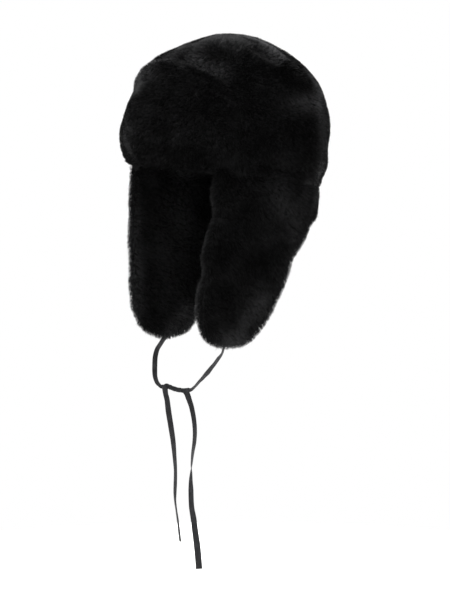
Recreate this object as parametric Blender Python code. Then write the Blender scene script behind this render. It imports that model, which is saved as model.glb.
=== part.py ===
"""Fur trapper hat: a hollow crown, a turned-up front peak, one flap that runs round the nape with an ear
flap at each end, and two flat ties in a loose half knot under the chin.

Metres, +Z up. The front faces -Y and the wearer's left is +X. The origin is the middle of the head
opening, at the crown's rim. Angles round the head run from the front towards the wearer's left.
"""

import math
from collections import namedtuple

import bmesh
import bpy
from mathutils import Vector
from mathutils.geometry import delaunay_2d_cdt

# The head that the hat is cut for
HEAD_HALF_LENGTH = 0.098
HEAD_HALF_WIDTH = 0.083
HEAD_ROUNDNESS = 0.91  # 1 for a plain ellipse, less for a squarer ring
RIM_TILT = math.radians(8.0)  # the rim stands higher at the forehead than at the nape
SEAM_GAP = 0.0004  # left between two pieces that are sewn together

# Crown: how far its outside reaches at each height over the rim
CROWN_HEIGHT = 0.163
CROWN_WALL = 0.018
CROWN_FRONT_WALL = 0.009  # thinner where the peak lies on it
CROWN_COLUMNS = 60
HEAD_ROOM_RINGS = 9
HEAD_ROOM_TOP = 0.93  # the highest of those rings, as a share of the room's height
HEAD_ROOM_EASE = 0.010  # the height in which the room widens from the opening

Ring = namedtuple("Ring", "height front back side")
CROWN_RINGS = (
    Ring(0.000, 0.100, 0.108, 0.097),
    Ring(0.003, 0.102, 0.112, 0.100),
    Ring(0.010, 0.103, 0.117, 0.102),
    Ring(0.021, 0.104, 0.122, 0.104),
    Ring(0.036, 0.103, 0.126, 0.105),
    Ring(0.052, 0.099, 0.127, 0.105),
    Ring(0.068, 0.093, 0.127, 0.104),
    Ring(0.084, 0.085, 0.125, 0.102),
    Ring(0.098, 0.078, 0.120, 0.099),
    Ring(0.111, 0.075, 0.111, 0.093),
    Ring(0.123, 0.073, 0.100, 0.085),
    Ring(0.133, 0.069, 0.088, 0.076),
    Ring(0.142, 0.060, 0.074, 0.064),
    Ring(0.150, 0.045, 0.058, 0.051),
    Ring(0.156, 0.031, 0.041, 0.037),
    Ring(0.161, 0.017, 0.021, 0.019),
)

Dent = namedtuple("Dent", "angle height wide tall depth")
# A bulge is a dent of negative depth
CROWN_DENTS = (
    Dent(angle=128, height=0.143, wide=17, tall=0.013, depth=0.007),
    Dent(angle=118, height=0.094, wide=28, tall=0.009, depth=0.005),
    Dent(angle=106, height=0.050, wide=7, tall=0.028, depth=0.003),
    Dent(angle=36, height=0.118, wide=20, tall=0.014, depth=0.006),
    Dent(angle=-40, height=0.117, wide=24, tall=0.017, depth=-0.011),
    Dent(angle=82, height=0.016, wide=15, tall=0.011, depth=0.005),
    Dent(angle=-115, height=0.104, wide=26, tall=0.012, depth=0.006),
    Dent(angle=-155, height=0.060, wide=16, tall=0.022, depth=0.004),
)

# Peak, folded up against the crown
PEAK_ARC = 0.112  # metres of pattern to a radian round the crown
PEAK_THICK = 0.015
PEAK_THIN = 0.012  # at its top edge
PEAK_GAP = 0.0006
PEAK_FOLD_ROUND = 0.040
PEAK_FOLD_ROWS = (0.0020, 0.0060)
PEAK_EDGE_ROUND = 0.013

Edge = namedtuple("Edge", "angle height")
PEAK_EDGE = (
    Edge(59, 0.000),
    Edge(60, 0.020),
    Edge(59, 0.045),
    Edge(57, 0.066),
    Edge(53, 0.084),
    Edge(45, 0.099),
    Edge(32, 0.112),
    Edge(17, 0.123),
    Edge(0, 0.127),
)

# Flap round the nape and over the ears
FLAP_FRONT = 0.110
FLAP_BACK = 0.101
FLAP_SIDE = 0.0925
FLAP_THICK = 0.016
FLAP_EDGE_ROUND = 0.013
FLAP_DROP = 0.198
FLAP_HANG_X = 0.057  # where the lower part of each ear flap hangs
FLAP_HANG_SHARE = 0.88
FLAP_HANG_FADE = math.radians(60)  # it hangs round the head again this close to the nape
FLAP_FORWARD = 0.008

# Its cut pattern: metres round the rim from the nape, metres down from the rim
Corner = namedtuple("Corner", "around drop")
FLAP_PATTERN = (
    Corner(0.2345, 0.000),
    Corner(0.2405, 0.040),
    Corner(0.2450, 0.075),
    Corner(0.2480, 0.110),
    Corner(0.2480, 0.140),
    Corner(0.2430, 0.164),
    Corner(0.2300, 0.183),
    Corner(0.2110, 0.194),
    Corner(0.1890, 0.197),
    Corner(0.1680, 0.191),
    Corner(0.1490, 0.175),
    Corner(0.1325, 0.146),
    Corner(0.1230, 0.115),
    Corner(0.1120, 0.086),
    Corner(0.0945, 0.060),
    Corner(0.0680, 0.044),
    Corner(0.0350, 0.038),
    Corner(0.0000, 0.038),
)

# Ties: flat laces, one from the tip of each ear flap
TIE_THICK = 0.001
TIE_GAP = 0.0003
TIE_TIPS = {1: Corner(0.196, 0.1972), -1: Corner(-0.189, 0.197)}  # where the left and the right one start
TIE_STRAIGHT = 0.003  # it leaves the tip straight down for this far
TIE_STEPS = 2  # the parts that each stretch between two stops is built in

# A facing is the side that the lace's flat face looks to, in degrees from the front to the wearer's left
Stop = namedtuple("Stop", "x y z facing wide")
RIGHT_TIE_TO_KNOT = (
    Stop(-0.056, -0.053, -0.202, 35, 0.0060),
    Stop(-0.056, -0.059, -0.211, 25, 0.0060),
    Stop(-0.053, -0.062, -0.219, 30, 0.0060),
    Stop(-0.049, -0.065, -0.228, 50, 0.0060),
    Stop(-0.043, -0.065, -0.236, 80, 0.0052),
    Stop(-0.037, -0.063, -0.242, 100, 0.0042),
)
RIGHT_TIE_FROM_KNOT = (
    Stop(-0.016, -0.041, -0.257, 60, 0.0048),
    Stop(-0.013, -0.040, -0.267, 85, 0.0060),
    Stop(-0.011, -0.038, -0.281, 95, 0.0060),
    Stop(-0.012, -0.036, -0.299, 108, 0.0060),
    Stop(-0.015, -0.036, -0.316, 128, 0.0060),
    Stop(-0.016, -0.037, -0.333, 140, 0.0060),
    Stop(-0.016, -0.038, -0.349, 150, 0.0060),
    Stop(-0.015, -0.039, -0.365, 178, 0.0060),
    Stop(-0.013, -0.039, -0.383, 195, 0.0060),
    Stop(-0.012, -0.036, -0.403, 208, 0.0060),
    Stop(-0.012, -0.033, -0.428, 215, 0.0060),
    Stop(-0.010, -0.031, -0.459, 225, 0.0060),
)
LEFT_TIE_TO_KNOT = (
    Stop(0.049, -0.046, -0.201, 135, 0.0060),
    Stop(0.034, -0.045, -0.213, 110, 0.0060),
    Stop(0.022, -0.044, -0.223, 112, 0.0060),
    Stop(0.008, -0.043, -0.232, 120, 0.0058),
    Stop(-0.005, -0.041, -0.242, 100, 0.0046),
)
LEFT_TIE_FROM_KNOT = (
    Stop(-0.033, -0.062, -0.249, 60, 0.0052),
    Stop(-0.031, -0.063, -0.259, 45, 0.0060),
    Stop(-0.029, -0.062, -0.273, 40, 0.0060),
    Stop(-0.029, -0.058, -0.291, 38, 0.0060),
    Stop(-0.029, -0.055, -0.309, 22, 0.0060),
    Stop(-0.028, -0.052, -0.327, -5, 0.0060),
    Stop(-0.027, -0.052, -0.344, -12, 0.0060),
    Stop(-0.025, -0.053, -0.365, -25, 0.0060),
    Stop(-0.025, -0.053, -0.385, -38, 0.0060),
    Stop(-0.024, -0.051, -0.405, -42, 0.0060),
    Stop(-0.024, -0.048, -0.426, -40, 0.0060),
)

# Half knot: the two laces wound round each other between two points
KNOT_RIGHT_END = Vector((-0.0175, -0.0420, -0.2495))
KNOT_LEFT_END = Vector((-0.0315, -0.0585, -0.2435))
KNOT_TURNS = 1.5
KNOT_STOPS = 19
KNOT_WIDE = 0.0036
KNOT_THICK = 0.0014

# How finely a padded piece is built
PATTERN_STEP = 0.0058
PATTERN_INSETS = (0.0022, 0.0075, 0.0130)
PATTERN_GRID = 0.012
INSET_SLACK = 0.92  # how near the edge a point of an inset row may come in a bend
MERGE_DISTANCE = 1e-5

# Small steps that slopes are read off
SLOPE_HEIGHT = 0.003
SLOPE_TURN = 0.02
SLOPE_AROUND = 0.002
SLOPE_SHARE = 0.01


def clear_scene():
    for thing in list(bpy.data.objects):
        bpy.data.objects.remove(thing)


def material(name, colour, roughness, metallic=0.0):
    made = bpy.data.materials.new(name)
    made.use_nodes = True
    shader = made.node_tree.nodes["Principled BSDF"]
    shader.inputs["Base Color"].default_value = (*colour, 1.0)
    shader.inputs["Roughness"].default_value = roughness
    shader.inputs["Metallic"].default_value = metallic
    return made


def add_object(name, shape, finish):
    """Puts a bmesh into the scene as one smooth-shaded object."""
    bmesh.ops.remove_doubles(shape, verts=shape.verts, dist=MERGE_DISTANCE)
    bmesh.ops.recalc_face_normals(shape, faces=shape.faces)
    mesh = bpy.data.meshes.new(name)
    shape.to_mesh(mesh)
    shape.free()
    mesh.shade_smooth()
    made = bpy.data.objects.new(name, mesh)
    mesh.materials.append(finish)
    bpy.context.scene.collection.objects.link(made)
    return made


def round_the_head(angle, front, back, side):
    """The point at an angle round an egg-shaped ring."""
    ahead, across = math.cos(angle), math.sin(angle)
    reach = front if ahead > 0 else back
    x = math.copysign(side * abs(across) ** HEAD_ROUNDNESS, across)
    y = -math.copysign(reach * abs(ahead) ** HEAD_ROUNDNESS, ahead)
    return Vector((x, y, 0.0))


def rim_height(point):
    """The height of the tilted rim over or under a point."""
    return -point.y * math.tan(RIM_TILT)


def over_the_rim(point, height):
    """Sets a point's height over the rim; the tilt fades out towards the crown's top."""
    point.z = height + rim_height(point) * (1 - max(height, 0.0) / CROWN_HEIGHT)
    return point


def crown_reach(height):
    """The crown's front, back and side reach at any height, between the rings of its table."""
    for low, high in zip(CROWN_RINGS, CROWN_RINGS[1:]):
        if height <= high.height:
            share = (height - low.height) / (high.height - low.height)
            return [a + share * (b - a) for a, b in zip(low[1:], high[1:])]
    return list(CROWN_RINGS[-1][1:])


def dent_depth(angle, height, dents):
    total = 0.0
    for dent in dents:
        across = math.remainder(angle - math.radians(dent.angle), math.tau)
        far = (across / math.radians(dent.wide)) ** 2 + ((height - dent.height) / dent.tall) ** 2
        total += dent.depth * math.exp(-far)
    return total


def crown_outside(angle, height):
    """A point on the outside of the crown, dents and all."""
    point = round_the_head(angle, *crown_reach(height))
    point -= point.normalized() * dent_depth(angle, height, CROWN_DENTS)
    return over_the_rim(point, height)


def head_room(angle, rise):
    """A point on the inside of the crown, at a share of the way up."""
    height = rise * (CROWN_HEIGHT - CROWN_WALL)
    front, back, side = crown_reach(rise * CROWN_HEIGHT)
    opening = math.exp(-height / HEAD_ROOM_EASE)
    point = round_the_head(
        angle,
        (front - CROWN_FRONT_WALL) * (1 - opening) + HEAD_HALF_LENGTH * opening,
        (back - CROWN_WALL) * (1 - opening) + HEAD_HALF_LENGTH * opening,
        (side - CROWN_WALL) * (1 - opening) + HEAD_HALF_WIDTH * opening,
    )
    return over_the_rim(point, height)


def skin_rings(shape, rings, pole_first, pole_last):
    """Joins rings of vertices into one closed skin with a point at each end."""
    count = len(rings[0])
    for near, far in zip(rings, rings[1:]):
        for k in range(count):
            nxt = (k + 1) % count
            shape.faces.new((near[k], near[nxt], far[nxt], far[k]))
    for pole, ring in ((pole_first, rings[0]), (pole_last, rings[-1])):
        for k in range(count):
            shape.faces.new((pole, ring[k], ring[(k + 1) % count]))


def make_crown(finish):
    shape = bmesh.new()
    angles = [math.tau * k / CROWN_COLUMNS for k in range(CROWN_COLUMNS)]
    turns = [math.pi / 2 * k / (HEAD_ROOM_RINGS - 1) for k in range(HEAD_ROOM_RINGS)]
    rises = [HEAD_ROOM_TOP * math.sin(turn) for turn in turns]
    rings = [[shape.verts.new(crown_outside(a, ring.height)) for a in angles] for ring in CROWN_RINGS[::-1]]
    rings += [[shape.verts.new(head_room(a, rise)) for a in angles] for rise in rises]
    top = shape.verts.new((0.0, 0.0, CROWN_HEIGHT))
    room_top = shape.verts.new((0.0, 0.0, CROWN_HEIGHT - CROWN_WALL))
    skin_rings(shape, rings, top, room_top)
    return add_object("crown", shape, finish)


def between(a, b, c, d, s):
    """A smooth curve from b to c, bent by their neighbours."""
    return (b * 2 + (c - a) * s + (2 * a - 5 * b + 4 * c - d) * s**2 + (3 * b - a - 3 * c + d) * s**3) / 2


def smooth_line(corners, step):
    """A smooth line through corners, with a point about every step."""
    line = []
    points = [Vector(corner) for corner in corners]
    for k in range(len(points) - 1):
        b, c = points[k], points[k + 1]
        a = points[k - 1] if k > 0 else 2 * b - c
        d = points[k + 2] if k + 2 < len(points) else 2 * c - b
        count = max(1, round((c - b).length / step))
        for n in range(count):
            s = n / count
            line.append(between(a, b, c, d, s))
    return line + [points[-1]]


def distance_to(line, point):
    nearest = math.inf
    for a, b in zip(line, line[1:]):
        along = b - a
        share = min(max((point - a).dot(along) / along.length_squared, 0.0), 1.0)
        nearest = min(nearest, (point - a - along * share).length)
    return nearest


def inset_points(line, inset):
    """Points to the left of a line, at one distance from all of it."""
    points = []
    for a, b in zip(line, line[1:]):
        along = (b - a).normalized()
        point = (a + b) / 2 + Vector((-along.y, along.x)) * inset
        if point.y > inset / 2 and distance_to(line, point) > INSET_SLACK * inset:
            points.append(point)
    return points


def inside(loop, point):
    crossings = 0
    for a, b in zip(loop, loop[1:] + loop[:1]):
        if (a.y > point.y) != (b.y > point.y):
            crossings += point.x < a.x + (b.x - a.x) * (point.y - a.y) / (b.y - a.y)
    return crossings % 2 == 1


def cut_pattern(edge, fold_rows):
    """A flat mesh over a pattern. Its padded edge is a line with the piece on its left, from seam to seam,
    and the seam lies at y = 0. Fold rows are extra rows of points next to the seam."""
    width = edge[0].x - edge[-1].x
    seam_grid = PATTERN_GRID / 2 if fold_rows else PATTERN_GRID
    seam_count = round(abs(width) / seam_grid)
    seam_places = [step / abs(width) for step in PATTERN_INSETS]
    middle = [k / seam_count for k in range(1, seam_count)]
    middle = [share for share in middle if seam_places[-1] < share < 1 - seam_places[-1]]
    shares = seam_places + middle + [1 - share for share in reversed(seam_places)]
    seam = [Vector((edge[-1].x + width * share, 0.0)) for share in shares]
    loop = edge + seam
    points = list(loop)
    for inset in PATTERN_INSETS:
        points += inset_points(edge, inset)
    low_x, high_x = min(p.x for p in edge), max(p.x for p in edge)
    high_y = max(p.y for p in edge)
    heights = list(fold_rows) + [j * PATTERN_GRID for j in range(1, int(high_y / PATTERN_GRID) + 1)]
    for j, height in enumerate(heights):
        grid = seam_grid if height in fold_rows else PATTERN_GRID
        for k in range(int((high_x - low_x) / grid) + 2):
            point = Vector((low_x + (k + 0.5 * (j % 2)) * grid, height))
            if inside(loop, point) and distance_to(edge, point) > PATTERN_INSETS[-1] + PATTERN_GRID / 2:
                points.append(point)
    borders = [(k, (k + 1) % len(loop)) for k in range(len(loop))]
    places, _, faces, *_ = delaunay_2d_cdt(points, borders, [], 1, 1e-7)
    return places, faces


def edge_round(distance, radius):
    """How full a padded edge is at a distance in from its seam: 0 at the seam, 1 past the radius."""
    inward = min(max(distance / radius, 0.0), 1.0)
    return math.sqrt(1 - (1 - inward) ** 2) if distance > MERGE_DISTANCE else 0.0


def padded_piece(name, edge, fold_rows, place, fullness, finish):
    """A padded piece over a cut pattern. Place gives a point in space for a place on the pattern and a side
    from -1 to 1; fullness is the share of the thickness there, 0 along the edge."""
    places, faces = cut_pattern(edge, fold_rows)
    shape = bmesh.new()
    skins = []
    full = [fullness(spot, distance_to(edge, spot)) for spot in places]
    for side in (1, -1):
        skins.append([shape.verts.new(place(spot, side * share)) for spot, share in zip(places, full)])
    for skin, turn in zip(skins, (1, -1)):
        for face in faces:
            shape.faces.new([skin[k] for k in face][::turn])
    seam = [k for k, spot in enumerate(places) if abs(spot.y) < MERGE_DISTANCE]
    seam.sort(key=lambda k: places[k].x)
    for a, b in zip(seam, seam[1:]):
        corners = [skins[0][a], skins[0][b], skins[1][b], skins[1][a]]
        if full[a] == 0:
            corners.pop()
        elif full[b] == 0:
            corners.pop(2)
        shape.faces.new(corners)
    return add_object(name, shape, finish)


def make_peak(finish):
    def place(spot, side):
        angle, height = spot.x / PEAK_ARC, max(spot.y, 0.0)
        base = crown_outside(angle, height)
        above = crown_outside(angle, height + SLOPE_HEIGHT)
        beside = crown_outside(angle + SLOPE_TURN, height)
        normal = (beside - base).cross(above - base).normalized()
        normal.z = max(normal.z, 0.0)
        thick = PEAK_THICK + (PEAK_THIN - PEAK_THICK) * height / PEAK_EDGE[-1].height
        point = base + normal * (PEAK_GAP + (1 + side) * thick / 2)
        point.z += (rim_height(point) - rim_height(base)) * (1 - height / CROWN_HEIGHT)
        return point

    def fullness(spot, from_edge):
        return min(edge_round(from_edge, PEAK_EDGE_ROUND), edge_round(spot.y, PEAK_FOLD_ROUND))

    half = [(PEAK_ARC * math.radians(edge.angle), edge.height) for edge in PEAK_EDGE]
    corners = half + [(-x, y) for x, y in half[-2::-1]]
    edge = smooth_line(corners, PATTERN_STEP)
    return padded_piece("peak", edge, PEAK_FOLD_ROWS, place, fullness, finish)


def rim_arcs():
    """The distance along the flap's seam from the nape, at each whole degree back from the front."""
    arcs = [0.0]
    for k in range(180):
        a, b = (
            round_the_head(math.radians(180 - k - n), FLAP_FRONT, FLAP_BACK, FLAP_SIDE) for n in (0, 1)
        )
        arcs.append(arcs[-1] + (b - a).length)
    return arcs


RIM_ARCS = rim_arcs()


def angle_at(around):
    """The angle round the head at a distance along the seam from the nape."""
    far = abs(around)
    k = max(k for k, arc in enumerate(RIM_ARCS[:-1]) if arc <= far)
    share = (far - RIM_ARCS[k]) / (RIM_ARCS[k + 1] - RIM_ARCS[k])
    return math.copysign(math.pi - math.radians(k + share), around)


def flap_middle(around, drop):
    """The middle of the flap's thickness: round the head at the rim, hanging flatter lower down."""
    angle = angle_at(around)
    point = round_the_head(angle, FLAP_FRONT, FLAP_BACK, FLAP_SIDE)
    share = max(drop, 0.0) / FLAP_DROP
    hang = FLAP_HANG_SHARE * share**2 * (3 - 2 * share)
    hang *= min(max((math.pi - abs(angle)) / FLAP_HANG_FADE, 0.0), 1.0)
    point.x += hang * (math.copysign(FLAP_HANG_X, around) - point.x)
    point.y -= FLAP_FORWARD * share
    return point


def flap_place(spot, side):
    around, drop = spot.x, max(spot.y, 0.0)
    point = flap_middle(around, drop)
    along = flap_middle(around + SLOPE_AROUND, drop) - flap_middle(around - SLOPE_AROUND, drop)
    normal = Vector((along.y, -along.x, 0.0)).normalized()
    point += normal * side * FLAP_THICK / 2
    point.z = rim_height(point) - SEAM_GAP - drop
    return point


def make_flap(finish):
    corners = FLAP_PATTERN + tuple(Corner(-c.around, c.drop) for c in FLAP_PATTERN[-2::-1])

    def fullness(spot, from_edge):
        return edge_round(from_edge, FLAP_EDGE_ROUND)

    edge = smooth_line(corners, PATTERN_STEP)
    return padded_piece("ear_and_nape_flap", edge, (), flap_place, fullness, finish)


Frame = namedtuple("Frame", "point facing along wide thick")


def frame_of(stop):
    look = math.radians(stop.facing)
    facing = Vector((math.sin(look), -math.cos(look), 0.0))
    return Frame(Vector((stop.x, stop.y, stop.z)), facing, None, stop.wide, TIE_THICK)


def knot_frames(phase):
    """The frames of one lace through the knot, from the wearer's left end of it to the right end."""
    axis = (KNOT_LEFT_END - KNOT_RIGHT_END).normalized()
    up = (Vector((0.0, 0.0, 1.0)) - axis * axis.z).normalized()
    ahead = up.cross(axis)
    frames = []
    for k in range(KNOT_STOPS):
        share = k / (KNOT_STOPS - 1)
        turn = math.tau * KNOT_TURNS * share + phase
        out = up * math.cos(turn) + ahead * math.sin(turn)
        point = KNOT_RIGHT_END.lerp(KNOT_LEFT_END, share) + out * (KNOT_THICK + TIE_GAP) / 2
        frames.append(Frame(point, out, axis, KNOT_WIDE, KNOT_THICK))
    return frames


def smooth_frames(frames):
    """More frames between the given ones. A lace looks the same from both sides, so facings may flip."""
    facings = [frames[0].facing]
    for frame in frames[1:]:
        facings.append(frame.facing if frame.facing.dot(facings[-1]) >= 0 else -frame.facing)
    points = [frame.point for frame in frames]
    points = [points[0] + (points[0] - points[1])] + points + [points[-1] + (points[-1] - points[-2])]
    finer = []
    for k in range(len(frames) - 1):
        here, there = frames[k], frames[k + 1]
        steps = 1 if here.along and there.along else TIE_STEPS
        for n in range(steps):
            s = n / steps
            point = between(*points[k:k + 4], s)
            along = between(*points[k:k + 4], s + SLOPE_SHARE) - between(*points[k:k + 4], s - SLOPE_SHARE)
            facing = facings[k].lerp(facings[k + 1], s)
            wide = here.wide + (there.wide - here.wide) * s
            thick = here.thick + (there.thick - here.thick) * s
            finer.append(Frame(point, facing, here.along if n == 0 and here.along else along, wide, thick))
    last = frames[-1]
    finer.append(Frame(last.point, facings[-1], last.along or points[-1] - points[-2], last.wide, last.thick))
    return finer


def make_tie(name, side, to_knot, phase, backwards, from_knot, finish):
    tip = flap_place(Vector(TIE_TIPS[side]), 0)
    start = tip - Vector((0.0, 0.0, TIE_GAP))
    knot = knot_frames(phase)[::-1 if backwards else 1]
    if backwards:
        knot = [frame._replace(along=-frame.along) for frame in knot]
    first = frame_of(to_knot[0])
    frames = [first._replace(point=start, along=Vector((0.0, 0.0, -1.0)))]
    frames.append(first._replace(point=start - Vector((0.0, 0.0, TIE_STRAIGHT))))
    frames += [frame_of(stop) for stop in to_knot] + knot + [frame_of(stop) for stop in from_knot]
    shape = bmesh.new()
    rings = []
    for frame in smooth_frames(frames):
        along = frame.along.normalized()
        facing = (frame.facing - along * frame.facing.dot(along)).normalized()
        across = along.cross(facing)
        ring = []
        for a, b in ((1, 1), (-1, 1), (-1, -1), (1, -1)):
            ring.append(
                shape.verts.new(frame.point + across * a * frame.wide / 2 + facing * b * frame.thick / 2)
            )
        rings.append(ring)
    for near, far in zip(rings, rings[1:]):
        for k in range(4):
            shape.faces.new((near[k], near[(k + 1) % 4], far[(k + 1) % 4], far[k]))
    shape.faces.new(rings[0])
    shape.faces.new(rings[-1])
    made = add_object(name, shape, finish)
    made.data.shade_flat()
    return made


def make_ties(finish):
    make_tie("left_tie", 1, LEFT_TIE_TO_KNOT, 0.0, False, LEFT_TIE_FROM_KNOT, finish)
    make_tie("right_tie", -1, RIGHT_TIE_TO_KNOT, math.pi, True, RIGHT_TIE_FROM_KNOT, finish)


def main():
    clear_scene()
    fur = material("black_fur", (0.012, 0.012, 0.013), 0.75)
    make_crown(fur)
    make_peak(fur)
    make_flap(fur)
    make_ties(material("black_lace", (0.025, 0.025, 0.027), 0.55))


if __name__ == "__main__":
    main()
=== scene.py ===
"""Fur trapper hat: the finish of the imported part, in black pile and flat laces.

The frame's crown, peak and flap are smooth solids. Each gets a ground here, a lumpy skin a few millimetres
under the solid's surface, and a pile of fine strands that grows from it, with its tips near that surface.
The two ties become flat laces along the routes of the source. Metres, +Z up; the front faces -Y and the
wearer's left is +X.
"""

import math
from collections import namedtuple

import bmesh
import bpy
import numpy as np
from bpy.props import FloatProperty, FloatVectorProperty, IntProperty, PointerProperty
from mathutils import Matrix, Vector, noise
from mathutils.bvhtree import BVHTree


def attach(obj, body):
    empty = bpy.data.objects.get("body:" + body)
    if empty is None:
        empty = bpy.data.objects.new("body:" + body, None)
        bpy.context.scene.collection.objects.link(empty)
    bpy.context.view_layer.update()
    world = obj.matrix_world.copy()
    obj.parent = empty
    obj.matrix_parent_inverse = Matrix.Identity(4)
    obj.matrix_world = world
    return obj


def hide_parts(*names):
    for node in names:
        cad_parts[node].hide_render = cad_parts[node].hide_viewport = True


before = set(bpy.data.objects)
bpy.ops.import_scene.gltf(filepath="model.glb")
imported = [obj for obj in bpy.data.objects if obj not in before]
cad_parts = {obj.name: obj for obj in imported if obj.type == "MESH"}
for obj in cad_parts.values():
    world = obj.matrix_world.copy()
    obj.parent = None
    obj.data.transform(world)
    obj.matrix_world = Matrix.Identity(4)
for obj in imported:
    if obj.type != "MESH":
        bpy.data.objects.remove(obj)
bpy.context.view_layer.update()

bl_info = {
    "name": "Fur Trapper Hat",
    "version": (1, 0, 0),
    "blender": (4, 5, 0),
    "location": "View3D > Sidebar > Hat",
    "description": "Dresses the frame of a fur trapper hat in pile and laces",
    "category": "Object",
}

# The photograph's frame and how it looks at the hat
FRAME_TALL = 600
PIXEL = 0.00115  # metres on the hat to one pixel
ORIGIN_ROW = 175  # the row of the frame's pixels that the origin lies on
SENSOR = 36.0
LENS_NEAR, LENS_FAR = 0.05, 50.0

# The studio. Places are in metres to the right, towards the camera and up.
FLOOR_RADIUS = 1.0
FLOOR_SIDES = 96
SUN_SPREAD = math.radians(40)
TOP_LIGHT_PLACE = (-0.9, 0.15, 1.2)
SIDE_LIGHT_PLACE = (1.4, -0.9, 0.25)
BRIGHT_UP, BRIGHT_LEFT = 0.75, 0.35  # where the surroundings are brightest, behind the hat
DIM_FROM, DIM_TO = -0.1, 0.9  # cosines of the angle from there, for the dimmest and the brightest

# The head that the hat is cut for
RIM_TILT = math.radians(8.0)
HEAD_MIDDLE = Vector((0.0, 0.010, 0.030))

# The grounds
TINY = 1e-12  # keeps a length that is divided by above zero
WELD = 1e-5
MILLIMETRE = 0.001
LUMP_SIZE = 0.018
LUMP_HEIGHT = 0.0011
FINE_LUMPS = 0.4  # size and height of the finer lumps, out of the lumps'
CROWN_SHIFT, PEAK_SHIFT, FLAP_SHIFT = 1.0, 2.0, 3.0  # where each ground's noise starts
FINE_LUMP_SHIFT, FINE_SWIRL_SHIFT, LEAN_SHIFT = 3, 5, 9  # further on for each kind of noise
RIM_DEPTH, RIM_DEPTH_HEIGHT = 0.5, 0.010  # share of the depth at the rim, and how high it is whole
RIM_COVER_HEIGHT = 0.009
RIM_GROWN = 0.012  # under this height over the rim the crown has pile everywhere
CROWN_COVERED = 2.5 * MILLIMETRE  # nearer than this to the peak, the crown has no pile
PEAK_BEHIND = 3.0 * MILLIMETRE  # nearer than this to the crown, the peak has no pile
PEAK_DEPTH = 0.85  # share of the pile's depth on the peak
PEAK_EASE = 0.022
PEAK_END_FROM, PEAK_END_TO = 30.0, 57.0  # degrees from the front over which the peak thins towards its ends
PEAK_END_TOP = 0.112
PEAK_END_POWER = 1.6
PEAK_SEED = 21
PEAK_THINNING = 0.0125
NAPE_FROM = 0.045  # the nape's pile starts this far behind the origin
LYING_GAP = 0.0003  # between the crown's ground and the peak's, where the peak lies against it
THIN_END = 0.001  # how much further from the crown's ground the peak's front is kept than its back
PEAK_FILLET, PEAK_FILLET_REACH = 0.0055, 0.018  # the crown swells this much towards the ends of the peak
RIM_COVER = 0.0035  # how much further the pile reaches where the crown's rim rolls in over the flap
FLAP_COVER = 0.0008  # how much further the pile reaches on the flap
SEWN_IN = 0.002  # how far the flap's upper edge goes into the crown, besides the pile's depth

# The nap: it lies down and a little towards the head, and swirls
NAP_INWARD = 0.4
SWIRL_SIZE, SWIRL_SHARE = 0.034, 0.75
FINE_SWIRL_SIZE, FINE_SWIRL_SHARE = 0.011, 0.4
LEAN_SIZE, LEAN_SHARE = 0.022, 0.35

# How single strands differ
ROOTED = 0.0008  # how deep a strand starts under the ground
TIP_SHARE = 0.4  # width of a strand's tip, out of its width at the root
LEAN_SPREAD = 0.13
TURN_SPREAD = 0.35
FUZZ_LEAST, FUZZ_MORE = 0.6, 0.6
TALL_SPREAD = 0.08
LEAST_UPRIGHT = 0.35  # keeps a strand that leans far from growing long
ROLL_MOST = 1.3
WIDTH_LEAST, WIDTH_MORE = 0.7, 0.6
BRUSH_SIZE, BRUSH_TONE = 0.030, 0.35  # lumps of lighter and darker nap
BASE_TONE, CLUMP_TONE, STRAND_TONE = 0.25, 0.2, 0.3
STRAND_STRIP = ((0.08, 0.08), (0.92, 0.08), (0.80, 0.92), (0.20, 0.92))  # a strand on its square of the map
STRAND_VALUES = ("along", "tone_and_painted_light")  # how far up a strand a corner is, and its tone, with the painted highlights and painted shade of the patches

# Numbers that scatter the clumps evenly
SCATTER_AXES = (73856093, 19349663, 83492791)
SCATTER_SALTS = (11, 37, 59, 83)
SCATTER_STEP = 40503
SCATTER_MIX = 2246822519
SCATTER_MASK = 0x7FFFFFFF
SCATTER_PARTS = 65536

# Numbers of the mix node's sockets when it mixes colours
MIX_SHARE, MIX_FIRST, MIX_SECOND, MIX_COLOUR = 0, 6, 7, 2

# Tones of the materials
WOOL_ALONG = 0.2  # how far up a strand the underwool's tone is taken, where its relief is 1, so it keeps much of the roots' painted shade
WEAR_SIZE = 0.06  # patches of wear to a metre, out of the lumps to a metre
TIP_POWER = 1.4  # above 1, the painted shade of the roots reaches further up
TONE_LEAST = 0.3
TONE_MIDDLE = 0.5  # a tone of this lightness keeps its colour
THREAD_DARK = (0.0006, 0.0006, 0.0007, 1.0)
THREAD_LIGHT = (0.0030, 0.0030, 0.0033, 1.0)
THREAD_WORN = (0.0028, 0.0028, 0.0030, 1.0)
THREAD_WEAR = 0.4
LACE_WORN = 1.7  # how much lighter a worn lace is


def link(made):
    bpy.context.scene.collection.objects.link(made)


def add_piece(name, mesh, finish):
    """Links a mesh as an object of the hat, riding on its one body."""
    piece = bpy.data.objects.new(name, mesh)
    mesh.materials.clear()
    for made in finish:
        mesh.materials.append(made)
    link(piece)
    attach(piece, "root")
    return piece


def add_aimed(name, data, place, heading):
    """Adds a camera or a lamp that looks along a heading."""
    made = bpy.data.objects.new(name, data)
    made.location = place
    made.rotation_mode = "QUATERNION"
    made.rotation_quaternion = heading.to_track_quat("-Z", "Y")
    link(made)
    return made


def mesh_of(name, shape):
    mesh = bpy.data.meshes.new(name)
    shape.to_mesh(mesh)
    shape.free()
    return mesh


# Shader groups and materials


def new_group(name, inputs, outputs):
    tree = bpy.data.node_groups.new(name, "ShaderNodeTree")
    for label, kind, value in inputs:
        tree.interface.new_socket(name=label, in_out="INPUT", socket_type=kind).default_value = value
    for label, kind in outputs:
        tree.interface.new_socket(name=label, in_out="OUTPUT", socket_type=kind)
    return tree, tree.nodes.new("NodeGroupInput").outputs, tree.nodes.new("NodeGroupOutput").inputs


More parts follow.
